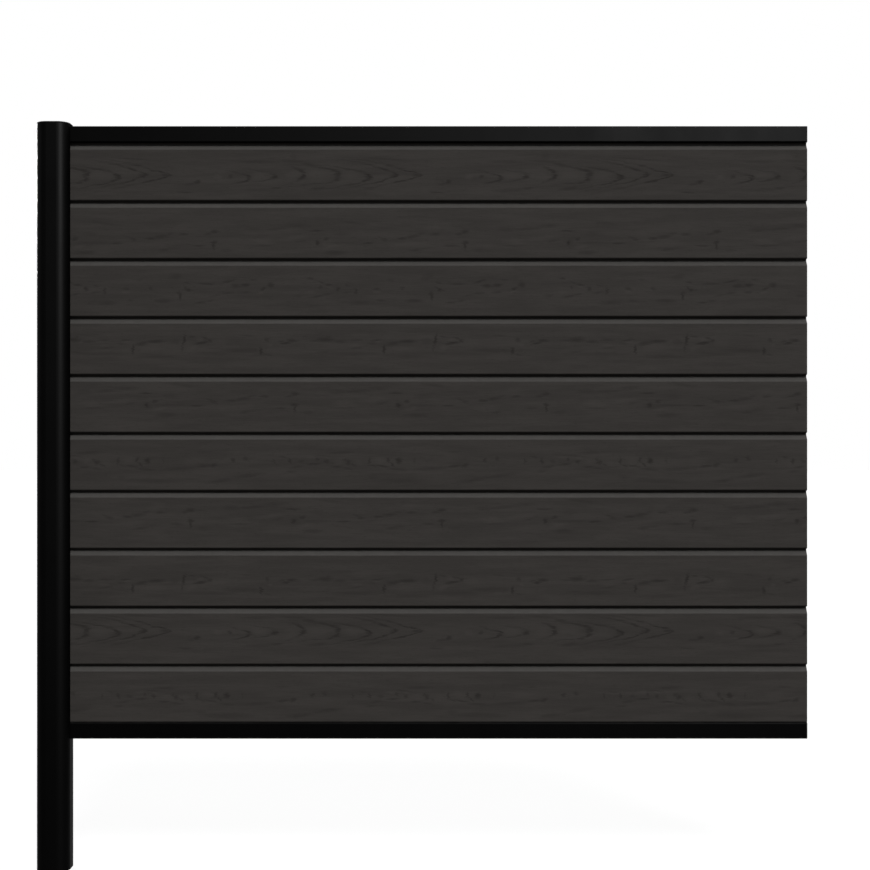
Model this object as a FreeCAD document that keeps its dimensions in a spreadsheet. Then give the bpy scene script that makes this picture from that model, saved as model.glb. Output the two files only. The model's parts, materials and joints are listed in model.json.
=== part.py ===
import FreeCAD, Part
import math
import os
import re

import Sketcher

# One bay of a slot-in privacy fence: an extruded post, ten hollow tongue-and-groove boards
# stacked between a bottom rail and a top rail, and the small pieces that hold them.
# +X runs along the panel, the front looks along -Y, +Z is up.
# The origin is the centre of the post's bottom end. All lengths are in millimetres.

doc = FreeCAD.newDocument("fence_panel")
sheet = doc.addObject("Spreadsheet::Sheet", "sizes")

dimensions = {
    # post extrusion with a slot down each side
    "post_width": 80,
    "post_length": 1797,
    "post_wall": 2.2,
    "post_corner_radius": 28,
    "slot_width": 28,
    "slot_depth": 23,
    # push-in post cap
    "cap_thickness": 3,
    "cap_edge_radius": 0.8,
    "cap_leg_depth": 18,
    "cap_leg_width": 14,
    "cap_leg_wall": 2.5,
    "cap_leg_clearance": 0.4,
    # filler profile that closes the slot under the panel and carries the bottom rail
    "filler_wall": 2,
    "filler_clearance": 0.25,
    # place of the panel on the post
    "post_reveal": 3.5,
    "end_gap": 2,
    # tongue-and-groove board
    "board_count": 10,
    "board_length": 1800,
    "board_thickness": 24,
    "board_pitch": 140,
    "board_edge_radius": 4,
    "bevel_height": 12,
    "bevel_edge_radius": 3,
    "shadow_gap": 4.5,
    "tongue_thickness": 6,
    "tongue_lead": 1,
    "groove_depth": 9,
    "groove_clearance": 0.3,
    # chambers inside the board
    "chamber_count": 5,
    "chamber_wall": 4.5,
    "chamber_web": 4,
    "chamber_radius": 2.5,
    # top and bottom rail
    "rail_height": 39,
    "rail_thickness": 27,
    "rail_wall": 1.8,
    "rail_edge_radius": 3,
    "rail_groove_depth": 7.5,
    "rib_clearance": 0.5,
    # angle bracket inside each rail's post end
    "bracket_width": 20,
    "bracket_upright": 24,
    "bracket_arm": 44,
    "bracket_bend_radius": 2,
    "upright_hole": 9.5,
    "upright_hole_pitch": 9,
    "arm_hole": 26,
    "arm_hole_pitch": 12,
    # screws
    "screw_diameter": 4.2,
    "screw_length": 13,
    "screw_clearance": 0.2,
    "pan_head_diameter": 7.6,
    "pan_head_height": 2.6,
    "countersunk_diameter": 7.4,
    "drive_radius": 1.5,
    "drive_depth": 1.3,
    # ribbed rubber strip between board and slot wall
    "gasket_width": 13,
    "gasket_base": 1.1,
    "gasket_rib": 1.6,
    "gasket_rib_count": 3,
    "gasket_setback": 1,
    # how far a cut runs past the face it opens
    "overrun": 5,
}

for row, (name, number) in enumerate(dimensions.items(), start=1):
    sheet.set(f"A{row}", name)
    sheet.set(f"B{row}", str(number))
    sheet.setAlias(f"B{row}", name)
doc.recompute()

# Derived sizes, written in the names above
post_half = "(post_width / 2)"
slot_floor = "(post_width / 2 - slot_depth)"
board_start = "(post_width / 2 - slot_depth + end_gap)"
top_rail_top = "(post_length - post_reveal)"
top_rail_bottom = f"({top_rail_top} - rail_height)"
boards_bottom = f"({top_rail_bottom} + rail_groove_depth - groove_depth - board_count * board_pitch)"
panel_bottom = f"({boards_bottom} - rail_height)"
bevel_top = "(board_pitch - shadow_gap)"
bevel_foot = "(board_pitch - shadow_gap - bevel_height)"
groove_half = "(tongue_thickness / 2 + groove_clearance)"
chamber_foot = "(groove_depth + chamber_wall)"
chamber_height = f"(({bevel_foot} - {chamber_foot} + chamber_web) / chamber_count - chamber_web)"
hole_radius = "(screw_diameter / 2 + screw_clearance)"
countersink_height = "((countersunk_diameter - screw_diameter) / 2)"


def size(name):
    return float(getattr(sheet, name))


def formula(text):
    return re.sub(r"[a-z]\w*", lambda word: f"sizes.{word.group()}", text)


def bind(item, **sizes):
    for prop, text in sizes.items():
        item.setExpression(prop, formula(text))


def place(item, x="0", y="0", z="0", axis=None, angle=0):
    if axis:
        item.Placement = FreeCAD.Placement(FreeCAD.Vector(), FreeCAD.Rotation(axis, angle))
    for letter, text in zip("xyz", (x, y, z)):
        item.setExpression(f"Placement.Base.{letter}", formula(text))


x_axis = FreeCAD.Vector(1, 0, 0)
y_axis = FreeCAD.Vector(0, 1, 0)


# Sketches: each corner or centre is bound to the sheet

def make_body(name):
    return doc.addObject("PartDesign::Body", name)


def make_sketch(body, name, plane, height="0"):
    sketch = body.newObject("Sketcher::SketchObject", name)
    support = next(part for part in body.Origin.OriginFeatures if part.Role == plane)
    sketch.AttachmentSupport = [(support, "")]
    sketch.MapMode = "FlatFace"
    sketch.setExpression("AttachmentOffset.Base.z", formula(height))
    return sketch


def hold_point(sketch, geometry, point, across, up):
    for kind, text in (("DistanceX", across), ("DistanceY", up)):
        number = sketch.addConstraint(Sketcher.Constraint(kind, -1, 1, geometry, point, 1))
        sketch.setExpression(f"Constraints[{number}]", formula(text))


def draw_outline(sketch, corners):
    count = len(corners)
    turns = [2 * math.pi * step / count for step in range(count)]
    ring = [FreeCAD.Vector(math.cos(turn), math.sin(turn), 0) for turn in turns]
    sides = [sketch.addGeometry(Part.LineSegment(ring[step - 1], ring[step]), False)
             for step in range(count)]
    for step, (across, up) in enumerate(corners):
        sketch.addConstraint(Sketcher.Constraint("Coincident", sides[step - 1], 2, sides[step], 1))
        hold_point(sketch, sides[step], 1, across, up)


def draw_rectangle(sketch, left, right, bottom, top):
    draw_outline(sketch, [(left, bottom), (right, bottom), (right, top), (left, top)])


def draw_square(sketch, half):
    draw_rectangle(sketch, f"-{half}", half, f"-{half}", half)


def draw_hole(sketch, across, up):
    circle = sketch.addGeometry(Part.Circle(FreeCAD.Vector(), FreeCAD.Vector(0, 0, 1), 1), False)
    hold_point(sketch, circle, 3, across, up)
    number = sketch.addConstraint(Sketcher.Constraint("Radius", circle, 1))
    sketch.setExpression(f"Constraints[{number}]", formula(hole_radius))


# Features

def pad(body, name, sketch, length, reverse=False, symmetric=False):
    feature = body.newObject("PartDesign::Pad", name)
    feature.Profile = sketch
    feature.Reversed = reverse
    if symmetric:
        feature.SideType = "Symmetric"
    bind(feature, Length=length)
    doc.recompute()
    return feature


def pocket(body, name, sketch, length, reverse=False):
    feature = body.newObject("PartDesign::Pocket", name)
    feature.Profile = sketch
    feature.Reversed = reverse
    bind(feature, Length=length)
    doc.recompute()
    return feature


def edges_near(base, spots, axes):
    chosen = []
    for number, edge in enumerate(base.Shape.Edges, start=1):
        middle = edge.CenterOfMass
        for spot in spots:
            if all(math.isclose(middle[axis], at, abs_tol=1e-6) for axis, at in zip(axes, spot)):
                chosen.append(f"Edge{number}")
    return chosen


def soften(body, name, base, edges, radius):
    feature = body.newObject("PartDesign::Fillet", name)
    feature.Base = (base, edges)
    bind(feature, Radius=radius)
    doc.recompute()
    return feature


def bevel(body, name, base, edges, width):
    feature = body.newObject("PartDesign::Chamfer", name)
    feature.Base = (base, edges)
    bind(feature, Size=width)
    doc.recompute()
    return feature


def mirrored_spots(across, up):
    return [(across, up), (-across, up)]


def corner_spots(half):
    return mirrored_spots(half, half) + mirrored_spots(half, -half)


# Post: rounded square tube, a channel let into its left and right side

def make_post():
    body = make_body("post")
    outline = make_sketch(body, "post_outline", "XY_Plane")
    draw_square(outline, post_half)
    pad(body, "post_block", outline, "post_length")
    hollow = make_sketch(body, "post_hollow", "XY_Plane")
    draw_square(hollow, "(post_width / 2 - post_wall)")
    tube = pocket(body, "post_tube", hollow, "post_length", reverse=True)
    half = size("post_width") / 2
    corners = edges_near(tube, corner_spots(half - size("post_wall")), (0, 1))
    tube = soften(body, "post_inner_corners", tube, corners, "post_corner_radius - post_wall")
    corners = edges_near(tube, corner_spots(half), (0, 1))
    soften(body, "post_corners", tube, corners, "post_corner_radius")

    walls = make_sketch(body, "slot_walls", "XY_Plane")
    slots = make_sketch(body, "slot_openings", "XY_Plane")
    for side in ("1", "-1"):
        draw_rectangle(walls, f"{side} * ({slot_floor} - post_wall)",
                       f"{side} * (post_width / 2 - post_wall / 2)",
                       "-(slot_width / 2 + post_wall)", "slot_width / 2 + post_wall")
        draw_rectangle(slots, f"{side} * {slot_floor}", f"{side} * (post_width / 2 + overrun)",
                       "-slot_width / 2", "slot_width / 2")
    pad(body, "slot_jackets", walls, "post_length")
    pocket(body, "slots", slots, "post_length", reverse=True)

    pilots = make_sketch(body, "pilot_holes", "YZ_Plane")
    for step in ("0", "1"):
        reach = f"(rail_wall + upright_hole + {step} * upright_hole_pitch)"
        draw_hole(pilots, "0", f"{panel_bottom} + {reach}")
        draw_hole(pilots, "0", f"{top_rail_top} - {reach}")
    pocket(body, "pilots", pilots, f"{slot_floor} + overrun", reverse=True)
    return body


# Post cap: a plate as wide as the post, with a hollow leg at the front and back of the tube

def make_post_cap():
    body = make_body("post_cap")
    outline = make_sketch(body, "cap_outline", "XY_Plane")
    draw_square(outline, post_half)
    plate = pad(body, "cap_plate", outline, "cap_thickness")
    half = size("post_width") / 2
    rounded = soften(body, "cap_corners", plate, edges_near(plate, corner_spots(half), (0, 1)),
                     "post_corner_radius")
    rim = [f"Edge{number}" for number, edge in enumerate(rounded.Shape.Edges, start=1)
           if math.isclose(edge.BoundBox.ZMin, size("cap_thickness"), abs_tol=1e-6)]
    soften(body, "cap_rim", rounded, rim, "cap_edge_radius")

    legs = make_sketch(body, "cap_leg_outlines", "XY_Plane")
    leg_reach = "(post_width / 2 - post_wall - cap_leg_clearance)"
    for side in ("1", "-1"):
        for inset in ("0", "cap_leg_wall"):
            across = f"({slot_floor} - post_wall - cap_leg_clearance - {inset})"
            draw_rectangle(legs, f"-{across}", across, f"{side} * ({leg_reach} - cap_leg_width + {inset})",
                           f"{side} * ({leg_reach} - {inset})")
    pad(body, "cap_legs", legs, "cap_leg_depth", reverse=True)
    place(body, z="post_length")
    return body


# Slot filler: U profile, flush with the post's side, from the ground to the bottom rail

def make_slot_filler():
    body = make_body("slot_filler")
    outline = make_sketch(body, "filler_outline", "XY_Plane")
    outer = "(slot_width / 2 - filler_clearance)"
    inner = f"({outer} - filler_wall)"
    face_inside = "post_width / 2 - filler_wall"
    draw_outline(outline, [
        (slot_floor, f"-{outer}"), (post_half, f"-{outer}"), (post_half, outer), (slot_floor, outer),
        (slot_floor, inner), (face_inside, inner), (face_inside, f"-{inner}"), (slot_floor, f"-{inner}"),
    ])
    pad(body, "filler_profile", outline, panel_bottom)
    return body


# Board: grooved foot, bevelled shoulders, tongue on top, a row of chambers inside

def make_board(number):
    name = f"board_{number:02d}"
    body = make_body(name)
    face = "board_thickness / 2"
    tongue = "tongue_thickness / 2"
    tip = "board_pitch + groove_depth"
    right_half = [
        (groove_half, "groove_depth"), (groove_half, "0"), (face, "0"), (face, bevel_foot),
        (tongue, bevel_top), (tongue, tip),
    ]
    left_half = [(f"-{across}", up) for across, up in reversed(right_half)]
    outline = make_sketch(body, f"{name}_outline", "YZ_Plane")
    draw_outline(outline, right_half + left_half)
    plank = pad(body, f"{name}_plank", outline, "board_length")

    half = size("board_thickness") / 2
    foot_edges = edges_near(plank, mirrored_spots(half, 0), (1, 2))
    softened = soften(body, f"{name}_foot", plank, foot_edges, "board_edge_radius")
    shoulder = size("board_pitch") - size("shadow_gap") - size("bevel_height")
    bevel_edges = edges_near(softened, mirrored_spots(half, shoulder), (1, 2))
    softened = soften(body, f"{name}_bevel", softened, bevel_edges, "bevel_edge_radius")
    tip_spots = mirrored_spots(size("tongue_thickness") / 2, size("board_pitch") + size("groove_depth"))
    bevel(body, f"{name}_tongue", softened, edges_near(softened, tip_spots, (1, 2)), "tongue_lead")

    chamber = make_sketch(body, f"{name}_chamber_outline", "YZ_Plane")
    width = "(board_thickness / 2 - chamber_wall)"
    draw_rectangle(chamber, f"-{width}", width, chamber_foot, f"{chamber_foot} + {chamber_height}")
    cut = pocket(body, f"{name}_chamber", chamber, "board_length", reverse=True)
    row = body.newObject("PartDesign::LinearPattern", f"{name}_chambers")
    row.Originals = [cut]
    row.Direction = (chamber, ["V_Axis"])
    bind(row, Length=f"({chamber_height} + chamber_web) * (chamber_count - 1)", Occurrences="chamber_count")
    body.Tip = row
    doc.recompute()
    reach = half - size("chamber_wall")
    chamber_edges = [f"Edge{index}" for index, edge in enumerate(row.Shape.Edges, start=1)
                     if math.isclose(abs(edge.CenterOfMass.y), reach, abs_tol=1e-6)
                     and math.isclose(edge.Length, size("board_length"), abs_tol=1e-6)]
    soften(body, f"{name}_chamber_corners", row, chamber_edges, "chamber_radius")
    place(body, x=board_start, z=f"{boards_bottom} + {number - 1} * board_pitch")
    return body


# Rails: hollow extrusions, the bottom one with a rib for the groove, the top one with a groove

def rail_corners(reach, foot, crown, step, crown_step):
    right_half = [(reach, foot), (reach, crown), (step, crown), (step, crown_step)]
    return right_half + [(f"-{across}", up) for across, up in reversed(right_half)]


def make_rail(name, outer, inner, hole_height, holes_up):
    body = make_body(name)
    outline = make_sketch(body, f"{name}_outline", "YZ_Plane")
    draw_outline(outline, outer)
    bar = pad(body, f"{name}_bar", outline, "board_length")
    half = size("rail_thickness") / 2
    spots = mirrored_spots(half, 0) + mirrored_spots(half, size("rail_height"))
    soften(body, f"{name}_edges", bar, edges_near(bar, spots, (1, 2)), "rail_edge_radius")

    hollow = make_sketch(body, f"{name}_hollow_outline", "YZ_Plane")
    draw_outline(hollow, inner)
    pocket(body, f"{name}_hollow", hollow, "board_length", reverse=True)

    holes = make_sketch(body, f"{name}_hole_centres", "XY_Plane", height=hole_height)
    for step in ("0", "1"):
        draw_hole(holes, f"arm_hole - end_gap + {step} * arm_hole_pitch", "0")
    drilled = pocket(body, f"{name}_holes", holes, "rail_wall + overrun", reverse=holes_up)
    level = 0 if holes_up else size("rail_height")
    spots = [(size("arm_hole") - size("end_gap") + step * size("arm_hole_pitch"), 0, level)
             for step in range(2)]
    bevel(body, f"{name}_countersinks", drilled, edges_near(drilled, spots, (0, 1, 2)), countersink_height)
    return body


def make_bottom_rail():
    rib_top = "rail_height + groove_depth - rib_clearance"
    outer = rail_corners("rail_thickness / 2", "0", "rail_height", "tongue_thickness / 2", rib_top)
    inner = rail_corners("(rail_thickness / 2 - rail_wall)", "rail_wall", "rail_height - rail_wall",
                         "(tongue_thickness / 2 - rail_wall)", f"{rib_top} - rail_wall")
    body = make_rail("bottom_rail", outer, inner, "0", holes_up=True)
    place(body, x=board_start, z=panel_bottom)
    return body


def make_top_rail():
    outer = rail_corners("rail_thickness / 2", "rail_height", "0", groove_half, "rail_groove_depth")
    inner = rail_corners("(rail_thickness / 2 - rail_wall)", "rail_height - rail_wall", "rail_wall",
                         f"({groove_half} + rail_wall)", "rail_groove_depth + rail_wall")
    body = make_rail("top_rail", outer, inner, "rail_height", holes_up=False)
    place(body, x=board_start, z=top_rail_bottom)
    return body


# Rail bracket: bent angle, upright on the slot floor, arm along the rail's wall

def make_bracket(name):
    body = make_body(name)
    outline = make_sketch(body, f"{name}_outline", "XZ_Plane")
    draw_outline(outline, [
        ("0", "0"), ("bracket_arm", "0"), ("bracket_arm", "end_gap"), ("end_gap", "end_gap"),
        ("end_gap", "bracket_upright"), ("0", "bracket_upright"),
    ])
    angle = pad(body, f"{name}_angle", outline, "bracket_width", symmetric=True)
    thickness = size("end_gap")
    bent = soften(body, f"{name}_inner_bend", angle, edges_near(angle, [(thickness, thickness)], (0, 2)),
                  "bracket_bend_radius")
    soften(body, f"{name}_outer_bend", bent, edges_near(bent, [(0, 0)], (0, 2)),
           "bracket_bend_radius + end_gap")

    upright_holes = make_sketch(body, f"{name}_upright_hole_centres", "YZ_Plane")
    arm_holes = make_sketch(body, f"{name}_arm_hole_centres", "XY_Plane")
    for step in ("0", "1"):
        draw_hole(upright_holes, "0", f"upright_hole + {step} * upright_hole_pitch")
        draw_hole(arm_holes, f"arm_hole + {step} * arm_hole_pitch", "0")
    pocket(body, f"{name}_upright_holes", upright_holes, "end_gap", reverse=True)
    pocket(body, f"{name}_arm_holes", arm_holes, "end_gap", reverse=True)
    return body


def make_bottom_rail_bracket():
    body = make_bracket("bottom_rail_bracket")
    place(body, x=slot_floor, z=f"{panel_bottom} + rail_wall")
    return body


def make_top_rail_bracket():
    body = make_bracket("top_rail_bracket")
    place(body, x=slot_floor, z=f"{top_rail_top} - rail_wall", axis=x_axis, angle=180)
    return body


# Screws: head above its seat, shank below it, both on the local Z axis

def finish_screw(name, head, shank):
    blank = doc.addObject("Part::Fuse", f"{name}_blank")
    blank.Base = head
    blank.Tool = shank
    drive = doc.addObject("Part::Prism", f"{name}_drive")
    drive.Polygon = 6
    bind(drive, Circumradius="drive_radius", Height="drive_depth + overrun")
    screw = doc.addObject("Part::Cut", name)
    screw.Base = blank
    screw.Tool = drive
    return screw, drive


def make_pan_screw(name):
    head = doc.addObject("Part::Cylinder", f"{name}_head")
    bind(head, Radius="pan_head_diameter / 2", Height="pan_head_height")
    shank = doc.addObject("Part::Cylinder", f"{name}_shank")
    bind(shank, Radius="screw_diameter / 2", Height="screw_length")
    place(shank, z="-screw_length")
    screw, drive = finish_screw(name, head, shank)
    place(drive, z="pan_head_height - drive_depth")
    return screw


def make_countersunk_screw(name):
    head = doc.addObject("Part::Cone", f"{name}_head")
    bind(head, Radius1="screw_diameter / 2", Radius2="countersunk_diameter / 2", Height=countersink_height)
    place(head, z=f"-{countersink_height}")
    shank = doc.addObject("Part::Cylinder", f"{name}_shank")
    bind(shank, Radius="screw_diameter / 2", Height=f"screw_length - {countersink_height}")
    place(shank, z="-screw_length")
    screw, drive = finish_screw(name, head, shank)
    place(drive, z="-drive_depth")
    return screw


def make_screw_group(name, screws):
    group = doc.addObject("Part::Compound", name)
    group.Links = screws
    return group


def make_bracket_screws(name, level, direction):
    screws = []
    for step in range(2):
        screw = make_pan_screw(f"{name}_{step + 1}")
        place(screw, x=f"{slot_floor} + end_gap",
              z=f"{level} + {direction} * (upright_hole + {step} * upright_hole_pitch)",
              axis=y_axis, angle=90)
        screws.append(screw)
    return make_screw_group(name, screws)


def make_rail_screws(name, level, turn):
    screws = []
    for step in range(2):
        screw = make_countersunk_screw(f"{name}_{step + 1}")
        place(screw, x=f"{slot_floor} + arm_hole + {step} * arm_hole_pitch", z=level, axis=x_axis, angle=turn)
        screws.append(screw)
    return make_screw_group(name, screws)


# Gasket: flat rubber strip on the slot wall, with ribs pressed on the boards

def make_gasket(name, side):
    body = make_body(name)
    wall = f"{side} * slot_width / 2"
    base = f"{side} * (slot_width / 2 - gasket_base)"
    board = f"{side} * board_thickness / 2"
    outer_end = "(post_width / 2 - gasket_setback)"
    corners = [(f"{outer_end} - gasket_width", wall), (outer_end, wall)]
    ribs = int(size("gasket_rib_count"))
    for rib in range(ribs):
        rib_end = f"({outer_end} - {rib} * (gasket_width - gasket_rib) / (gasket_rib_count - 1))"
        if rib > 0:
            corners.append((rib_end, base))
        corners += [(rib_end, board), (f"{rib_end} - gasket_rib", board)]
        if rib < ribs - 1:
            corners.append((f"{rib_end} - gasket_rib", base))
    outline = make_sketch(body, f"{name}_outline", "XY_Plane")
    draw_outline(outline, corners)
    pad(body, f"{name}_strip", outline, "board_count * board_pitch")
    place(body, z=boards_bottom)
    return body


pieces = [make_post(), make_post_cap(), make_slot_filler(), make_bottom_rail(), make_top_rail()]
pieces += [make_board(number + 1) for number in range(int(size("board_count")))]
pieces += [make_bottom_rail_bracket(), make_top_rail_bracket()]
pieces += [
    make_bracket_screws("bottom_bracket_screws", f"{panel_bottom} + rail_wall", "1"),
    make_bracket_screws("top_bracket_screws", f"{top_rail_top} - rail_wall", "-1"),
    make_rail_screws("bottom_rail_screws", panel_bottom, 180),
    make_rail_screws("top_rail_screws", top_rail_top, 0),
    make_gasket("front_gasket", "-1"),
    make_gasket("back_gasket", "1"),
]
doc.recompute()

# Every feature has to be sound, and every cut has to remove something, before a file is written
for item in doc.Objects:
    if "Invalid" in item.State or "Error" in item.State:
        raise RuntimeError(f"{item.Label} failed: {item.State}")
    if item.TypeId == "PartDesign::Pocket" and item.Shape.Volume >= item.BaseFeature.Shape.Volume:
        raise RuntimeError(f"{item.Label} cut nothing")
for piece in pieces:
    if piece.Shape.isNull() or not piece.Shape.isValid():
        raise RuntimeError(f"{piece.Label} has no sound shape")

os.makedirs("parts", exist_ok=True)
for piece in pieces:
    piece.Shape.exportStep(os.path.join("parts", f"{piece.Label}.step"))
    print(f"{piece.Label}: {len(piece.Shape.Solids)} solid(s), {piece.Shape.Volume / 1000:.1f} cm3")
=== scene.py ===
import json
import math
import bmesh
import bpy
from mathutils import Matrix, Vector

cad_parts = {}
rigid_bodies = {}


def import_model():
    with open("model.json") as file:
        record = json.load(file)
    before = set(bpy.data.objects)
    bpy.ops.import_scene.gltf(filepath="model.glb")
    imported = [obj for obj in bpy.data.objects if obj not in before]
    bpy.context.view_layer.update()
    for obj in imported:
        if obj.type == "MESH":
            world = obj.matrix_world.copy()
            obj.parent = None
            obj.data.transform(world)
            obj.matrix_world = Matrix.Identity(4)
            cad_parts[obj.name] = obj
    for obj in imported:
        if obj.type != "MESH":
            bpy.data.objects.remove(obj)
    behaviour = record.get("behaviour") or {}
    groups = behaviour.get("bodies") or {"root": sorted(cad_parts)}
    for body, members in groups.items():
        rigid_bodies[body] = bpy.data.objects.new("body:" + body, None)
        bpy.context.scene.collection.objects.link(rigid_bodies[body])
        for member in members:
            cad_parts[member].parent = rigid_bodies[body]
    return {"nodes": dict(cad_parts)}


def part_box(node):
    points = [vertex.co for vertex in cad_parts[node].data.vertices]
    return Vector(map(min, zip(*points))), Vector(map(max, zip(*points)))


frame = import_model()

# the start-up scene's own cube, lamp and camera go first
for leftover in [thing for thing in bpy.data.objects if thing.name in ("Cube", "Light", "Camera")]:
    bpy.data.objects.remove(leftover)
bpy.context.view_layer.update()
nodes = frame["nodes"]
scene = bpy.context.scene
scene.view_settings.view_transform = "Standard"
millimetres = 1000.0  # in a metre
print("frame loaded,", len(nodes), "pieces")


# node tree helpers

def feed(tree, socket, value):
    if isinstance(value, bpy.types.NodeSocket):
        tree.links.new(value, socket)
    else:
        socket.default_value = value


def addNode(tree, kind, inputs=None, **settings):
    node = tree.nodes.new(kind)
    for name, value in settings.items():
        setattr(node, name, value)
    for socket, value in (inputs or {}).items():
        feed(tree, node.inputs[socket], value)
    return node


def calc(tree, operation, *values):
    return addNode(tree, "ShaderNodeMath", dict(enumerate(values)), operation=operation).outputs[0]


def ramp(tree, value, low, high, toLow=0.0, toHigh=1.0):
    return addNode(tree, "ShaderNodeMapRange", {"Value": value, "From Min": low, "From Max": high,
                   "To Min": toLow, "To Max": toHigh}, interpolation_type="SMOOTHSTEP").outputs["Result"]


def blend(tree, amount, first, second):
    return addNode(tree, "ShaderNodeMix", {0: amount, 6: first, 7: second}, data_type="RGBA").outputs[2]


def shaded(colour, share):
    return [part * share for part in colour[:3]] + [1]


# output 0 is the noise as a value, output 1 as a colour
def noise(tree, vector, scale, detail=2.0, rough=0.5, place=(0, 0, 0), output=0):
    spread = addNode(tree, "ShaderNodeMapping", {"Vector": vector, "Location": place, "Scale": scale})
    return addNode(tree, "ShaderNodeTexNoise", {"Vector": spread.outputs[0], "Scale": 1.0, "Detail": detail,
                   "Roughness": rough}).outputs[output]


def split(tree, vector):
    return addNode(tree, "ShaderNodeSeparateXYZ", {0: vector}).outputs


def join(tree, x, y, z):
    return addNode(tree, "ShaderNodeCombineXYZ", {0: x, 1: y, 2: z}).outputs[0]


def newGroup(name, inputs, outputs):
    group = bpy.data.node_groups.new(name, "ShaderNodeTree")
    for label, kind in inputs.items():
        group.interface.new_socket(name=label, in_out="INPUT", socket_type="NodeSocket" + kind)
    for label, kind in outputs.items():
        group.interface.new_socket(name=label, in_out="OUTPUT", socket_type="NodeSocket" + kind)
    return group, group.nodes.new("NodeGroupInput").outputs, group.nodes.new("NodeGroupOutput").inputs


def useGroup(tree, group, inputs):
    return addNode(tree, "ShaderNodeGroup", inputs, node_tree=group).outputs


def newMaterial(name, **constants):
    material = bpy.data.materials.new(name)
    material.use_nodes = True
    tree = material.node_tree
    shader = tree.nodes["Principled BSDF"]
    for socket, value in constants.items():
        shader.inputs[socket.replace("_", " ")].default_value = value
    place = addNode(tree, "ShaderNodeTexCoord").outputs["Object"]
    return material, tree, shader.inputs, place


def emboss(tree, shader, height, depth):
    bump = addNode(tree, "ShaderNodeBump", {"Height": height, "Strength": 1.0, "Distance": depth})
    tree.links.new(bump.outputs[0], shader["Normal"])


def finishWith(material, *names):
    for name in names:
        nodes[name].material_slots[0].material = material


# embossed wood grain, as rolled into the boards: each design is a set of marks drawn in
# millimetres from the middle of the board's face, and repeats along the board
# a ring is (along, up, length, half height, bluntness), a growth ring with its tip to the right
# a cut or a swell is (along, up, half length, half height, tilt in degrees, share of the full depth)

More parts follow.
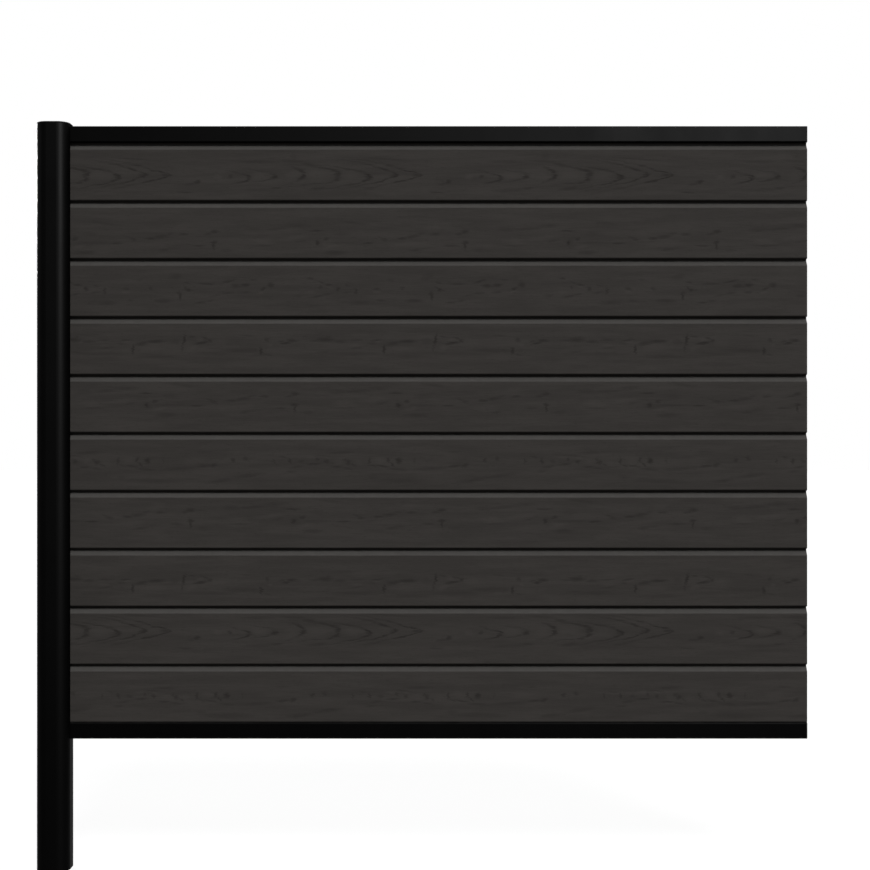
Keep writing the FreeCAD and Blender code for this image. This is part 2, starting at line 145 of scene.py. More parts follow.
grainMarks = {
    "cathedral": {
        "rings": [(-212, -7, 38, 14, 1.5), (-153, -2, 32, 12, 2.8), (-84, 0, 22, 18, 2.4),
                  (0, -1, 68, 22, 3.0), (77, -5, 80, 24, 2.0), (140, 1, 85, 27, 1.5),
                  (199, 0, 115, 30, 1.3)],
        "cuts": [(266, -17, 11, 6, 15, 0.8), (252, -22, 20, 4, 5, 0.4), (236, -42, 24, 3, -3, 0.4),
                 (-150, -32, 20, 4, 4, 0.5), (-190, -36, 60, 6, 2, 0.3), (-262, -4, 9, 6, 20, 0.55),
                 (-216, -7, 10, 5, 0, 0.6), (-200, 32, 60, 5, 0, 0.35), (-110, 33, 50, 5, -3, 0.35),
                 (-108, 45, 14, 10, 0, 0.25), (-70, 24, 26, 6, -12, 0.5), (-50, -33, 32, 5, 5, 0.45),
                 (73, -5, 12, 7, 0, 0.65), (134, -1, 16, 6, 15, 0.55), (188, 0, 16, 5, 0, 0.65),
                 (-4, -1, 8, 14, 0, 0.55), (-85, -2, 6, 11, 0, 0.5), (120, 38, 80, 3, -4, 0.3)],
        "swells": [(-192, -1, 30, 10, 0, 0.4), (-112, -2, 24, 14, 0, 0.3), (-50, 1, 44, 14, 0, 0.4),
                   (30, -2, 32, 14, 0, 0.3), (-292, -4, 14, 8, 0, 0.4)],
    },
    "streaked": {
        "rings": [],
        "cuts": [(0, -24, 8, 8, 0, 0.85), (3, -24, 15, 11, 0, 0.25), (21, -15, 11, 5, 15, 0.6),
                 (-250, -23, 11, 5, 0, 0.75), (-250, -30, 4, 14, 0, 0.75), (-250, 3, 14, 6, 5, 0.65),
                 (-262, -2, 16, 4, 10, 0.45), (-4, 5, 24, 3, 0, 0.6), (-46, 17, 12, 6, 0, 0.4),
                 (-50, 17, 40, 7, 3, 0.3), (-150, 8, 30, 8, 0, 0.3), (-100, 10, 50, 5, 4, 0.35),
                 (-130, -31, 36, 3, 0, 0.3), (-40, -20, 20, 3, 12, 0.3), (120, -25, 22, 3, 2, 0.6),
                 (60, -24, 60, 4, 0, 0.3), (162, -16, 12, 5, -10, 0.45), (152, -11, 14, 3, -15, 0.35),
                 (205, -13, 18, 4, 0, 0.65), (230, -9, 26, 6, 8, 0.5), (250, -2, 14, 4, 10, 0.35),
                 (284, -3, 16, 4, 2, 0.5), (236, -41, 18, 4, 4, 0.45), (250, -38, 40, 4, 6, 0.25),
                 (45, -48, 36, 7, 0, 0.45), (-285, -31, 22, 3, 0, 0.45), (-218, -42, 20, 6, 0, 0.25),
                 (58, -3, 26, 8, 0, 0.25), (88, 24, 48, 5, -8, 0.3)],
        "swells": [(-135, -19, 34, 8, 0, 0.4), (-125, -25, 34, 4, 2, 0.4), (-60, -12, 50, 7, 8, 0.35),
                   (30, -33, 26, 5, 10, 0.4), (220, -27, 64, 7, 4, 0.3), (280, 13, 26, 9, 4, 0.25)],
    },
    "dashed": {
        "rings": [],
        "cuts": [(0, -12, 5, 13, 0, 0.75), (0, -6, 9, 6, 0, 0.55), (20, 2, 9, 5, 0, 0.75),
                 (14, 7, 9, 3, -45, 0.5), (30, 1, 8, 2.5, 0, 0.35), (-41, -24, 31, 6, 0, 0.5),
                 (133, 12, 16, 6, 2, 0.65), (159, 14, 16, 6, 3, 0.75), (146, 11, 30, 4, 3, 0.4),
                 (219, 14, 12, 8, 5, 0.65), (201, 5, 12, 4, 25, 0.6), (117, 23, 24, 3.5, 14, 0.6),
                 (66, 17, 26, 3, 0, 0.55), (17, 20, 10, 3, -10, 0.4), (176, 27, 14, 3, -8, 0.35),
                 (48, -28, 18, 3, 4, 0.5), (72, -24, 14, 3, 10, 0.4), (116, -5, 18, 3.5, 6, 0.4),
                 (88, -11, 20, 3, 10, 0.25), (158, -3, 14, 4, 4, 0.45), (-291, 30, 12, 3, -5, 0.5),
                 (-248, 15, 14, 3.5, -5, 0.6), (-266, 21, 12, 3, -22, 0.45), (-226, 5, 7, 7, 10, 0.7),
                 (-268, 9, 6, 6, 0, 0.45), (-275, -13, 20, 3.5, 10, 0.5), (-252, -8, 16, 3, 8, 0.4),
                 (285, -12, 16, 5, 0, 0.3), (-182, 0, 5, 10, 0, 0.6), (-205, -4, 16, 3, 8, 0.35),
                 (-202, 13, 10, 3, -20, 0.35), (-131, 5, 12, 4, 0, 0.5), (-71, 6, 8, 6, 0, 0.4),
                 (-98, 27, 12, 5, 0, 0.25), (-175, -29, 32, 7, 2, 0.35), (-121, -23, 14, 4, 0, 0.4),
                 (-10, 34, 22, 10, 15, 0.3)],
        "swells": [(-132, -3, 16, 4, 0, 0.4), (196, -3, 12, 4, 15, 0.4), (66, 26, 26, 5, 0, 0.25),
                   (-290, -2, 16, 6, 0, 0.25), (-245, 8, 12, 3, -10, 0.3)],
    },
    "barred": {
        "rings": [],
        "cuts": [(-120, -1, 5, 14, 0, 0.85), (-64, 18, 32, 5, 2, 0.75), (-98, 13, 24, 6, 10, 0.6),
                 (4, 22, 5, 17, -8, 0.9), (-1, 2, 3.5, 12, -5, 0.45), (22, 30, 12, 3, -4, 0.5),
                 (44, 14, 24, 4, 8, 0.8), (66, 20, 8, 5, 20, 0.6), (55, 26, 14, 3, -18, 0.45),
                 (190, -5, 6, 11, 0, 0.9), (170, -4, 24, 7, 0, 0.4), (205, -14, 14, 3, -10, 0.35),
                 (204, 22, 8, 7, -30, 0.5), (250, 14, 16, 4, 8, 0.8), (264, 20, 18, 5, 0, 0.75),
                 (238, 18, 12, 3, 10, 0.45), (-262, 22, 28, 7, 0, 0.7), (-285, 20, 24, 3, 0, 0.45),
                 (-226, 18, 22, 5, 0, 0.5), (-256, 28, 10, 4, 10, 0.4), (-188, 21, 24, 3, 2, 0.4),
                 (-138, 21, 20, 3, 6, 0.5), (-148, 13, 14, 4, 0, 0.35), (-186, 2, 22, 3, 6, 0.35),
                 (140, -4, 64, 8, 0, 0.4), (70, -12, 90, 6, 0, 0.25), (-18, 18, 16, 10, 0, 0.25),
                 (-60, -19, 70, 6, 0, 0.28), (-200, -12, 90, 6, 0, 0.32), (-266, -8, 24, 3, 2, 0.3),
                 (156, 32, 22, 3, -4, 0.3)],
        "swells": [(-76, 1, 46, 8, 0, 0.32), (22, 2, 18, 8, 20, 0.35), (42, 22, 12, 5, 0, 0.35),
                   (90, 16, 30, 12, 0, 0.28), (-136, 17, 16, 3, 8, 0.4), (-188, 9, 22, 4, 0, 0.35),
                   (212, 9, 8, 4, 0, 0.4), (-175, 34, 40, 7, 0, 0.25)],
    },
    "knotted": {
        "rings": [],
        "cuts": [(1, 10, 10, 9, 0, 0.9), (-25, 12, 5, 8, -15, 0.65), (-16, 1, 13, 3, -42, 0.6),
                 (-38, -3, 24, 3, -8, 0.5), (0, -11, 30, 4, -4, 0.4), (-71, 9, 5, 11, 0, 0.65),
                 (-60, -2, 12, 3, -20, 0.4), (-122, 6, 8, 8, -20, 0.65), (-129, 12, 6, 5, 0, 0.45),
                 (-109, 0, 10, 3, -30, 0.4), (-174, 8, 8, 6, 0, 0.6), (-197, 13, 5, 6, 0, 0.5),
                 (-205, 2, 22, 3.5, 5, 0.55), (-235, 8, 10, 5, 0, 0.4), (-262, 9, 5, 9, 15, 0.65),
                 (-280, 19, 14, 3, -10, 0.35), (-302, 9, 5, 8, 0, 0.5), (-150, -5, 20, 3, 0, 0.5),
                 (-122, -9, 18, 3, -8, 0.4), (-245, -5, 22, 4, 10, 0.4), (-260, -16, 18, 4, 4, 0.35),
                 (-143, 29, 44, 5, 2, 0.35), (-180, 22, 30, 3, -5, 0.3), (160, -1, 13, 6, 20, 0.65),
                 (136, -3, 26, 4, 6, 0.6), (80, -9, 60, 6, 4, 0.35), (208, 11, 8, 6, 40, 0.65),
                 (237, 15, 8, 7, -20, 0.5), (39, 10, 4, 10, 0, 0.3), (178, -38, 40, 6, 8, 0.4),
                 (245, -26, 50, 6, 8, 0.4), (10, -39, 90, 8, -2, 0.35), (-62, -31, 16, 8, 0, 0.25),
                 (132, 31, 24, 4, 0, 0.25)],
        "swells": [(-45, 13, 20, 11, 0, 0.3), (-145, 8, 18, 9, 0, 0.3), (-208, 18, 18, 4, 0, 0.35),
                   (-97, 5, 14, 10, 0, 0.2), (112, 12, 42, 10, 3, 0.28), (-172, 17, 12, 4, -10, 0.3)],
    },
}

# how the marks are drawn: widths and heights in millimetres, the rest as shares
grainStyle = {
    "dashReach": (1.1, 1.25),  # where a cut or swell ends, in its half lengths and half heights
    "dashFull": 0.9,  # on the way from its rim to its middle, where it gets its full depth
    "ringTip": 9.0,  # half width of a ring's line along the board, at its tip
    "ringArm": 6.0,  # and on its arms
    "ringSlope": 2.4,  # how much the slope of an arm adds to that
    "ringCore": 0.05,  # part of the half width that has the full depth
    "ringDepth": 0.9,
    "ringFade": (0.1, 1.7),  # where the arms start to fade and where they end, in half heights
    "waver": 6.0,  # how far the rings waver up and down
    "waverNoise": {"scale": (0.02, 1, 0.05)},
    "wornNoise": {"scale": (0.035, 1, 0.1), "place": (9, 0, 4)},
    "wornRange": (0.36, 0.56),
    "wornDepth": 0.3,  # what is left of a ring where it is worn
}


def dashMark(tree, vector, along, up, length, height, tilt, depth):
    reachAlong, reachUp = grainStyle["dashReach"]
    turned = addNode(tree, "ShaderNodeMapping", {"Vector": vector, "Location": (along, 0, up),
                     "Rotation": (0, math.radians(-tilt), 0),
                     "Scale": (reachAlong * length, 1, reachUp * height)}, vector_type="TEXTURE").outputs[0]
    spot = addNode(tree, "ShaderNodeTexGradient", {"Vector": turned}, gradient_type="SPHERICAL").outputs[1]
    return calc(tree, "MULTIPLY", ramp(tree, spot, 0.0, grainStyle["dashFull"]), depth)


def ringMark(tree, x, z, along, up, length, height, bluntness):
    rise = calc(tree, "ABSOLUTE", calc(tree, "DIVIDE", calc(tree, "SUBTRACT", z, up), height))
    bow = calc(tree, "MULTIPLY", calc(tree, "POWER", rise, bluntness), length)
    offset = calc(tree, "ADD", calc(tree, "SUBTRACT", x, along), bow)
    arm = grainStyle["ringSlope"] * bluntness * length / height + grainStyle["ringArm"]
    width = ramp(tree, rise, 0.0, 1.0, grainStyle["ringTip"], arm)
    away = calc(tree, "DIVIDE", calc(tree, "ABSOLUTE", offset), width)
    line = ramp(tree, away, grainStyle["ringCore"], 1.0, 1.0, 0.0)
    depth = ramp(tree, rise, *grainStyle["ringFade"], grainStyle["ringDepth"], 0.0)
    return calc(tree, "MULTIPLY", line, depth)


def deepest(tree, layers):
    total = layers[0]
    for layer in layers[1:]:
        total = calc(tree, "MAXIMUM", total, layer)
    return total


def grainDesign(name, marks):
    group, given, result = newGroup(name + "Grain", {"Vector": "Vector"},
                                    {"Depth": "Float", "Raised": "Float"})
    pattern = given["Vector"]
    place = split(group, pattern)
    # the growth rings waver, and fade in and out
    waver = noise(group, pattern, **grainStyle["waverNoise"])
    waver = calc(group, "MULTIPLY_ADD", waver, 2 * grainStyle["waver"], -grainStyle["waver"])
    wavered = calc(group, "ADD", place["Z"], waver)
    worn = noise(group, pattern, **grainStyle["wornNoise"])
    worn = ramp(group, worn, *grainStyle["wornRange"], grainStyle["wornDepth"], 1.0)
    rings = [ringMark(group, place["X"], wavered, *mark) for mark in marks["rings"]]
    cuts = [dashMark(group, pattern, *mark) for mark in marks["cuts"]]
    cuts += [calc(group, "MULTIPLY", worn, ring) for ring in rings]
    swells = [dashMark(group, pattern, *mark) for mark in marks["swells"]]
    group.links.new(deepest(group, cuts), result["Depth"])
    group.links.new(deepest(group, swells), result["Raised"])
    return group


grainDesigns = {name: grainDesign(name, marks) for name, marks in grainMarks.items()}
print("grain designs drawn:", ", ".join(grainMarks))


# where a point lies on a board: its place in the drawn pattern, in millimetres, and masks for the
# embossed face, the upward shoulders that get a painted highlight, and the sawn end

boardLayout = {
    "repeat": 607.0,  # of a design along the board
    "backShift": 214.0,  # the back carries the same grain, moved along
    "middle": 61.7,  # of the embossed face, above the board's foot
    "fray": (8.0, 2.5),  # how far the marks fray, along and up
    "frayNoise": {"scale": (60, 60, 330), "output": 1},
    "faceRange": (0.0108, 0.0119),  # metres from the board's middle plane
    "paintedHighlightRange": (0.2, 0.5),  # upward part of the normal, where the painted highlight on the bevelled shoulders comes in
    "endTurn": 0.7,  # lengthwise part of the normal
}


def boardPlaceGroup():
    group, given, result = newGroup("boardPlace", {"Vector": "Vector", "Foot": "Float", "Shift": "Float"},
                                    {"Pattern": "Vector", "Face": "Float", "PaintedHighlight": "Float",
                                     "End": "Float"})
    x, y, z = split(group, given["Vector"])
    back = calc(group, "MULTIPLY", calc(group, "GREATER_THAN", y, 0.0), boardLayout["backShift"])
    along = calc(group, "MULTIPLY_ADD", x, millimetres, back)
    up = calc(group, "MULTIPLY", calc(group, "SUBTRACT", z, given["Foot"]), millimetres)
    fray = split(group, noise(group, given["Vector"], **boardLayout["frayNoise"]))
    frayAlong, frayUp = boardLayout["fray"]
    lowest = -frayUp - boardLayout["middle"]
    along = calc(group, "ADD", along, calc(group, "MULTIPLY_ADD", fray[0], 2 * frayAlong, -frayAlong))
    up = calc(group, "ADD", up, calc(group, "MULTIPLY_ADD", fray[1], 2 * frayUp, lowest))
    half = boardLayout["repeat"] / 2
    along = calc(group, "WRAP", calc(group, "SUBTRACT", along, given["Shift"]), half, -half)
    group.links.new(join(group, along, 0.0, up), result["Pattern"])
    normal = split(group, addNode(group, "ShaderNodeNewGeometry").outputs["True Normal"])
    end = calc(group, "GREATER_THAN", calc(group, "ABSOLUTE", normal[0]), boardLayout["endTurn"])
    group.links.new(ramp(group, calc(group, "ABSOLUTE", y), *boardLayout["faceRange"]), result["Face"])
    # painted highlight mask: the shoulders turned upwards, where the top light falls
    group.links.new(ramp(group, normal[2], *boardLayout["paintedHighlightRange"]), result["PaintedHighlight"])
    group.links.new(end, result["End"])
    return group


# straight fibres along the board: fine streaks, open pores and slow changes of tone

fibreStyle = {
    "streak": {"scale": (26, 700, 700), "detail": 3.0, "rough": 0.6},
    "pores": {"scale": (75, 900, 900), "detail": 1.0, "rough": 0.5, "place": (3.1, 0, 7.7)},
    "poreRange": (0.62, 0.72),
    "tone": {"scale": (6, 60, 60), "detail": 3.0, "rough": 0.55, "place": (1.7, 5.0, 0)},
}


def fibreGroup():
    group, given, result = newGroup("fibreGrain", {"Vector": "Vector"},
                                    {"Streak": "Float", "Pores": "Float", "Tone": "Float"})
    pores = noise(group, given["Vector"], **fibreStyle["pores"])
    group.links.new(noise(group, given["Vector"], **fibreStyle["streak"]), result["Streak"])
    group.links.new(ramp(group, pores, *fibreStyle["poreRange"]), result["Pores"])
    group.links.new(noise(group, given["Vector"], **fibreStyle["tone"]), result["Tone"])
    return group


# dust that settles on faces turned upwards

dustStyle = {
    "facingRange": (0.25, 0.95),  # upward part of the normal
    "cloud": {"scale": (38, 38, 38), "detail": 5.0, "rough": 0.65},
    "cloudRange": (0.32, 0.75),
    "thinnest": 0.25,
}


def dustGroup():
    group, given, result = newGroup("settledDust", {"Vector": "Vector", "Amount": "Float"},
                                    {"Mask": "Float", "Facing": "Float"})
    normal = split(group, addNode(group, "ShaderNodeNewGeometry").outputs["Normal"])
    facing = ramp(group, normal[2], *dustStyle["facingRange"])
    cloud = noise(group, given["Vector"], **dustStyle["cloud"])
    patches = ramp(group, cloud, *dustStyle["cloudRange"], dustStyle["thinnest"], 1.0)
    patchy = calc(group, "MULTIPLY", facing, patches)
    group.links.new(calc(group, "MULTIPLY", patchy, given["Amount"]), result["Mask"])
    group.links.new(facing, result["Facing"])
    return group


boardPlace = boardPlaceGroup()
fibreGrain = fibreGroup()
settledDust = dustGroup()


# boards: charcoal wood-plastic, coloured through, with an embossed face and a sawn end

boardFinish = {
    "colour": (0.0310, 0.0286, 0.0265, 1),
    "toneShares": (0.95, 1.12),  # of that colour, where the tone is darkest and lightest
    "toneRange": (0.3, 0.7),
    # a darker grain tone for the streaks and pores, and also painted shade laid into the embossed grooves
    "grainToneAndShadeColour": (0.0190, 0.0174, 0.0161, 1),
    "streakRange": (0.42, 0.68),
    "streakCover": 0.22,
    "poreCover": 0.35,
    # a lighter tone on the raised swells, partly a painted highlight of the embossing
    "swellToneAndHighlightColour": (0.0420, 0.0386, 0.0358, 1),
    # painted highlight: the bevelled shoulders that face upwards are lightened as if lit from above
    "paintedHighlightColour": (0.0375, 0.0360, 0.0343, 1),
    "paintedHighlightCover": 0.85,
    "dustColour": (0.085, 0.082, 0.078, 1),
    "dustAmount": 0.18,
    "coreColour": (0.0520, 0.0470, 0.0420, 1),
    "flakes": {"scale": (900, 420, 420), "detail": 3.0, "rough": 0.7},
    "flakeRange": (0.35, 0.7),
    "flakeShare": 0.55,  # of the core's colour
    "shine": 0.0036,
    "roughness": 0.62,
    "streakRoughness": 0.16,
    "grooveRoughness": 0.15,
    "breakStart": 0.28,  # how much deeper a mark is where there is no streak
    "breakSlope": -0.55,  # and how that changes up to a full streak
    "breakFrom": 0.3,  # depth from which a mark breaks up fully
    "embossDepth": 0.0005,
    "relief": {"streak": 0.22, "pores": -0.12, "groove": -0.9, "raised": 0.4},  # shares of that depth
    # which design a board was rolled with, how far along and how far up
    "design": {
        10: ("cathedral", 687, 0),
        9: ("streaked", 636, 0),
        8: ("dashed", 304, 0),
        7: ("barred", 310, 0),
        6: ("streaked", 831, 28),
        5: ("knotted", 225, 0),
        4: ("streaked", 579, 28),
        3: ("barred", 310, -18),
        2: ("cathedral", 687, 19),
        1: ("knotted", 416, -7),
    },
}


# streaks, marks, a painted highlight on the upward shoulders and dust over the board's own tone, and the
# core at the sawn end
def boardColour(tree, place, spot, fibre, groove, raised):
    darkest, lightest = [shaded(boardFinish["colour"], share) for share in boardFinish["toneShares"]]
    colour = blend(tree, ramp(tree, fibre["Tone"], *boardFinish["toneRange"]), darkest, lightest)
    streaks = ramp(tree, fibre["Streak"], *boardFinish["streakRange"])
    streaks = calc(tree, "MULTIPLY", streaks, boardFinish["streakCover"])
    pores = calc(tree, "MULTIPLY", fibre["Pores"], boardFinish["poreCover"])
    # painted highlight laid on the upward shoulders
    paintedHighlight = calc(tree, "MULTIPLY", spot["PaintedHighlight"], boardFinish["paintedHighlightCover"])
    dust = useGroup(tree, settledDust, {"Vector": place, "Amount": boardFinish["dustAmount"]})
    flakes = ramp(tree, noise(tree, place, **boardFinish["flakes"]), *boardFinish["flakeRange"])
    flakeColour = shaded(boardFinish["coreColour"], boardFinish["flakeShare"])
    core = blend(tree, flakes, boardFinish["coreColour"], flakeColour)
    layers = [
        # the streaks and pores take a darker grain tone; the grooves take it as grain tone with painted
        # shade in the recesses
        (streaks, boardFinish["grainToneAndShadeColour"]),
        # the swells take a lighter tone that is partly a painted highlight
        (raised, boardFinish["swellToneAndHighlightColour"]),
        (pores, boardFinish["grainToneAndShadeColour"]),
        (groove, boardFinish["grainToneAndShadeColour"]),
        (paintedHighlight, boardFinish["paintedHighlightColour"]),
        (dust["Mask"], boardFinish["dustColour"]),
        (spot["End"], core),
    ]
    for cover, layer in layers:
        colour = blend(tree, cover, colour, layer)
    return colour


def boardMaterial(number, design, shift, lift):
    material, tree, shader, place = newMaterial(f"charcoalBoard{number:02d}",
                                                Specular_IOR_Level=boardFinish["shine"])
    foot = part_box(f"board_{number:02d}")[0].z + lift / millimetres
    spot = useGroup(tree, boardPlace, {"Vector": place, "Foot": foot, "Shift": float(shift)})
    fibre = useGroup(tree, fibreGrain, {"Vector": place})
    drawn = useGroup(tree, grainDesigns[design], {"Vector": spot["Pattern"]})
    face = calc(tree, "MULTIPLY", spot["Face"], calc(tree, "SUBTRACT", 1.0, spot["End"]))
    # the drawn marks break up along the fibres
    broken = calc(tree, "MULTIPLY_ADD", fibre["Streak"], boardFinish["breakSlope"],
                  boardFinish["breakStart"])
    broken = calc(tree, "MULTIPLY", broken, ramp(tree, drawn["Depth"], 0.0, boardFinish["breakFrom"]))
    groove = calc(tree, "MAXIMUM", calc(tree, "ADD", drawn["Depth"], broken), 0.0)
    groove = calc(tree, "MULTIPLY", groove, face)
    raised = calc(tree, "MULTIPLY", drawn["Raised"], face)
    tree.links.new(boardColour(tree, place, spot, fibre, groove, raised), shader["Base Color"])
    rough = calc(tree, "MULTIPLY_ADD", fibre["Streak"], boardFinish["streakRoughness"],
                 boardFinish["roughness"])
    rough = calc(tree, "MULTIPLY_ADD", groove, boardFinish["grooveRoughness"], rough)
    tree.links.new(rough, shader["Roughness"])
    relief = boardFinish["relief"]
    height = calc(tree, "MULTIPLY", fibre["Pores"], relief["pores"])
    height = calc(tree, "MULTIPLY_ADD", fibre["Streak"], relief["streak"], height)
    height = calc(tree, "MULTIPLY_ADD", groove, relief["groove"], height)
    height = calc(tree, "MULTIPLY_ADD", raised, relief["raised"], height)
    emboss(tree, shader, height, boardFinish["embossDepth"])
    return material


for number, setting in boardFinish["design"].items():
    finishWith(boardMaterial(number, *setting), f"board_{number:02d}")
print("boards finished")


# powder coat: orange peel, fine speckle and slow changes of sheen

powderStyle = {
    "peel": {"scale": (420, 420, 420), "detail": 2.0, "rough": 0.5},
    "speckle": {"scale": (1500, 1500, 1500), "detail": 1.0, "rough": 0.5},
    "speckleRange": (0.58, 0.75),
    "sheen": {"scale": (9, 9, 4), "detail": 4.0, "rough": 0.6},
}


def powderGroup():
    group, given, result = newGroup("powderCoat", {"Vector": "Vector"},
                                    {"Peel": "Float", "Speckle": "Float", "Sheen": "Float"})
    speckle = noise(group, given["Vector"], **powderStyle["speckle"])
    group.links.new(noise(group, given["Vector"], **powderStyle["peel"]), result["Peel"])
    group.links.new(ramp(group, speckle, *powderStyle["speckleRange"]), result["Speckle"])
    group.links.new(noise(group, given["Vector"], **powderStyle["sheen"]), result["Sheen"])
    return group


powderCoat = powderGroup()

postFinish = {
    "colour": (0.0004, 0.0004, 0.0004, 1),
    "speckleColour": (0.0016, 0.0016, 0.0017, 1),
    "speckleCover": 0.6,
    "dustColour": (0.030, 0.029, 0.0275, 1),
    "dustAmount": 0.20,
    "shine": 0.0087,
    "roughness": 0.49,
    "unevenness": 0.16,  # of the roughness
    "topRoughness": 0.9,  # on faces turned upwards
    "peelDepth": 0.00006,
}
railFinish = {**postFinish, "shine": 0.0057}
capFinish = {
    **postFinish,
    "colour": (0.0050, 0.0050, 0.0052, 1),
    "shine": 0.0,
    "roughness": 0.55,
    "peelDepth": 0.0001,
}
gasketFinish = {
    **postFinish,
    "colour": (0.0080, 0.0080, 0.0082, 1),
    "roughness": 0.75,
    "peelDepth": 0.00005,
}
railScrewFinish = {
    **postFinish,
    "colour": (0.0120, 0.0120, 0.0120, 1),
    "roughness": 0.45,
    "peelDepth": 0.00003,
}


def coatMaterial(name, finish):
    material, tree, shader, place = newMaterial(name, Specular_IOR_Level=finish["shine"])
    coat = useGroup(tree, powderCoat, {"Vector": place})
    dust = useGroup(tree, settledDust, {"Vector": place, "Amount": finish["dustAmount"]})
    speckle = calc(tree, "MULTIPLY", coat["Speckle"], finish["speckleCover"])
    colour = blend(tree, speckle, finish["colour"], finish["speckleColour"])
    tree.links.new(blend(tree, dust["Mask"], colour, finish["dustColour"]), shader["Base Color"])
    smoothest = finish["roughness"] - finish["unevenness"] / 2
    rough = calc(tree, "MULTIPLY_ADD", coat["Sheen"], finish["unevenness"], smoothest)
    rough = calc(tree, "MULTIPLY_ADD", dust["Facing"], finish["topRoughness"] - finish["roughness"], rough)
    tree.links.new(rough, shader["Roughness"])
    emboss(tree, shader, coat["Peel"], finish["peelDepth"])
    return material


finishWith(coatMaterial("blackPostCoat", postFinish), "post", "slot_filler")
finishWith(coatMaterial("blackRailCoat", railFinish), "bottom_rail", "top_rail")
finishWith(coatMaterial("blackCapPlastic", capFinish), "post_cap")
finishWith(coatMaterial("gasketRubber", gasketFinish), "front_gasket", "back_gasket")
finishWith(coatMaterial("blackScrewCoat", railScrewFinish), "bottom_rail_screws", "top_rail_screws")


# brackets and their screws: zinc-plated steel with faint spangle

zincFinish = {
    "colour": (0.46, 0.47, 0.49, 1),
    "dullColour": (0.30, 0.31, 0.33, 1),
    "dullCover": 0.7,
    "cloud": {"scale": (120, 120, 120), "detail": 4.0, "rough": 0.6},
    "cloudRange": (0.35, 0.7),
    "cloudDepth": 0.00003,
    "roughness": 0.34,
    "spangleRoughness": 0.14,
    "spangleScale": 260.0,
}


def zincMaterial():
    material, tree, shader, place = newMaterial("zincPlatedSteel", Metallic=1.0)
    spangle = addNode(tree, "ShaderNodeTexVoronoi", {"Vector": place, "Scale": zincFinish["spangleScale"]})
    grain = split(tree, spangle.outputs["Color"])[0]
    cloud = noise(tree, place, **zincFinish["cloud"])
    dull = calc(tree, "MULTIPLY", ramp(tree, cloud, *zincFinish["cloudRange"]), zincFinish["dullCover"])
    tree.links.new(blend(tree, dull, zincFinish["colour"], zincFinish["dullColour"]), shader["Base Color"])
    rough = calc(tree, "MULTIPLY_ADD", grain, zincFinish["spangleRoughness"], zincFinish["roughness"])
    tree.links.new(rough, shader["Roughness"])
    emboss(tree, shader, cloud, zincFinish["cloudDepth"])
    return material


finishWith(zincMaterial(), "bottom_rail_bracket", "top_rail_bracket",
           "bottom_bracket_screws", "top_bracket_screws")
print("coats, rubber and steel finished")


# studio: white all round for the eye and for reflections, low even light for everything else

studio = {
    "white": (1, 1, 1, 1),
    "ambient": 0.16,
    "floorSize": 40,
    "floorTone": (0.82, 0.82, 0.82, 1),
    "floorRoughness": 0.9,
    "floorGlow": 0.90,
    "floorShadow": 0.14,  # how much of the lit floor, with its shadow, the eye sees in the glow
}


def seenDirectly(tree):
    path = addNode(tree, "ShaderNodeLightPath").outputs
    mirrored = calc(tree, "MAXIMUM", path["Is Glossy Ray"], path["Is Transmission Ray"])
    return calc(tree, "MAXIMUM", path["Is Camera Ray"], mirrored)


def mixShaders(tree, amount, first, second):
    return addNode(tree, "ShaderNodeMixShader", {0: amount, 1: first, 2: second}).outputs[0]


def studioWorld():
    world = bpy.data.worlds.new("studio")
    scene.world = world
    world.use_nodes = True
    tree = world.node_tree
    tree.nodes.clear()
    low, bright = [addNode(tree, "ShaderNodeBackground", {"Color": studio["white"], "Strength": strength})
                   for strength in (studio["ambient"], 1.0)]
    mixed = mixShaders(tree, seenDirectly(tree), low.outputs[0], bright.outputs[0])
    addNode(tree, "ShaderNodeOutputWorld", {"Surface": mixed})


def floorMaterial():
    material, tree = newMaterial("paleFloor", Base_Color=studio["floorTone"],
                                 Roughness=studio["floorRoughness"], Specular_IOR_Level=0.0)[:2]
    lit = tree.nodes["Principled BSDF"].outputs[0]
    glow = addNode(tree, "ShaderNodeEmission", {"Color": studio["white"], "Strength": studio["floorGlow"]})
    faint = mixShaders(tree, studio["floorShadow"], glow.outputs[0], lit)
    mixed = mixShaders(tree, seenDirectly(tree), lit, faint)
    tree.links.new(mixed, tree.nodes["Material Output"].inputs["Surface"])
    return material


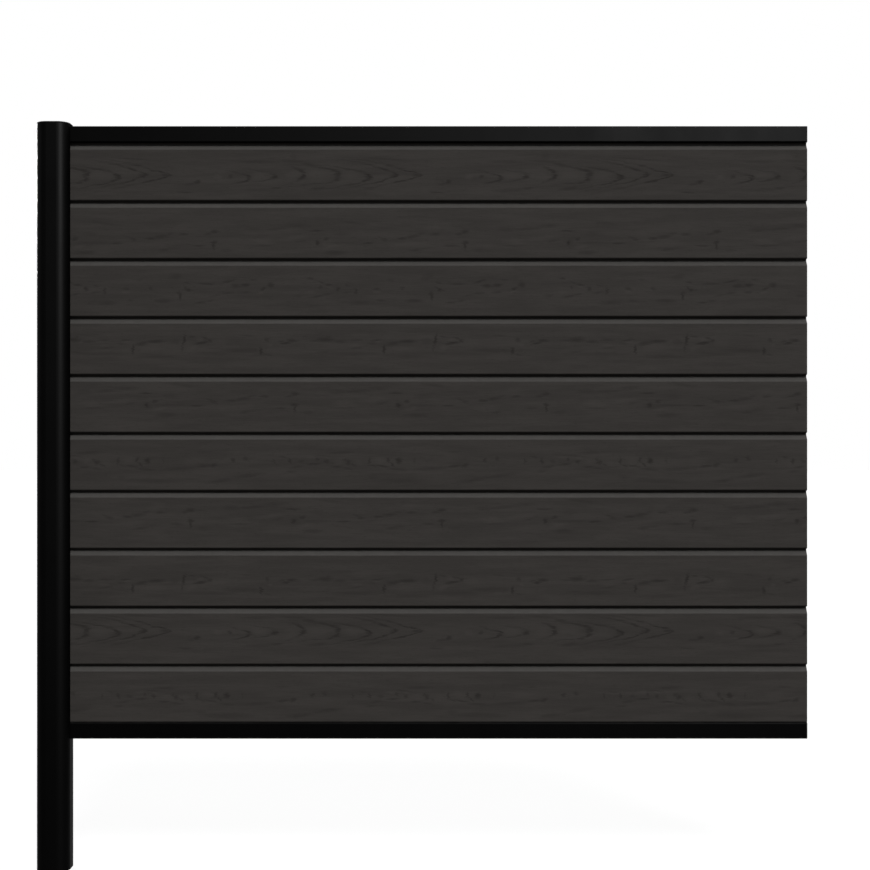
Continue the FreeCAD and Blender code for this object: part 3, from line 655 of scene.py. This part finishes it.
def studioFloor():
    shape = bmesh.new()
    bmesh.ops.create_grid(shape, x_segments=2, y_segments=2, size=studio["floorSize"])
    mesh = bpy.data.meshes.new("studioFloor")
    shape.to_mesh(mesh)
    shape.free()
    mesh.materials.append(floorMaterial())
    floor = bpy.data.objects.new("studioFloor", mesh)
    scene.collection.objects.link(floor)
    floor.visible_diffuse = False  # no glare from below on the panel


studioWorld()
studioFloor()

# soft lamps: turn to the right of the front, rise above the horizon and spread, all in degrees
lamps = {
    "frontLamp": {"turn": 16, "rise": 48, "strength": 3.95, "spread": 24},
    "backLamp": {"turn": 196, "rise": 50, "strength": 4.0, "spread": 30},
    "rightLamp": {"turn": 90, "rise": 35, "strength": 1.8, "spread": 40},
    "leftLamp": {"turn": 270, "rise": 35, "strength": 1.8, "spread": 40},
}

# softboxes in front and behind that only draw the sheen on the coated edges
softboxes = {
    "frontSoftbox": {"place": (2.9, -5.25, 3.6), "aim": (0.3, 0.0, 1.4), "size": 1.2, "strength": 3330.0},
    "backSoftbox": {"place": (-2.3, 5.25, 3.0), "aim": (0.3, 0.0, 1.4), "size": 1.2, "strength": 1300.0},
}


def hangLamp(name, kind, strength):
    stand = bpy.data.objects.new(name, bpy.data.lights.new(name, kind))
    scene.collection.objects.link(stand)
    stand.data.energy = strength
    return stand


for name, setting in lamps.items():
    stand = hangLamp(name, "SUN", setting["strength"])
    stand.data.angle = math.radians(setting["spread"])
    stand.rotation_euler = (math.radians(90 - setting["rise"]), 0, math.radians(setting["turn"]))

for name, setting in softboxes.items():
    stand = hangLamp(name, "AREA", setting["strength"])
    stand.data.size = setting["size"]
    stand.location = setting["place"]
    aim = Vector(setting["aim"]) - Vector(setting["place"])
    stand.rotation_euler = aim.to_track_quat("-Z", "Y").to_euler()
    stand.visible_diffuse = False
    stand.visible_camera = False

# camera at the photograph's viewing angle, level and square to the panel
cameraSettings = {"place": (0.9202, -3.6135, 1.0475), "lens": 61.716, "sensor": 36.0}

camera = bpy.data.objects.new("camera", bpy.data.cameras.new("camera"))
scene.collection.objects.link(camera)
camera.data.lens = cameraSettings["lens"]
camera.data.sensor_width = cameraSettings["sensor"]
camera.location = cameraSettings["place"]
camera.rotation_euler = (math.radians(90), 0, 0)
scene.camera = camera
print("studio set")
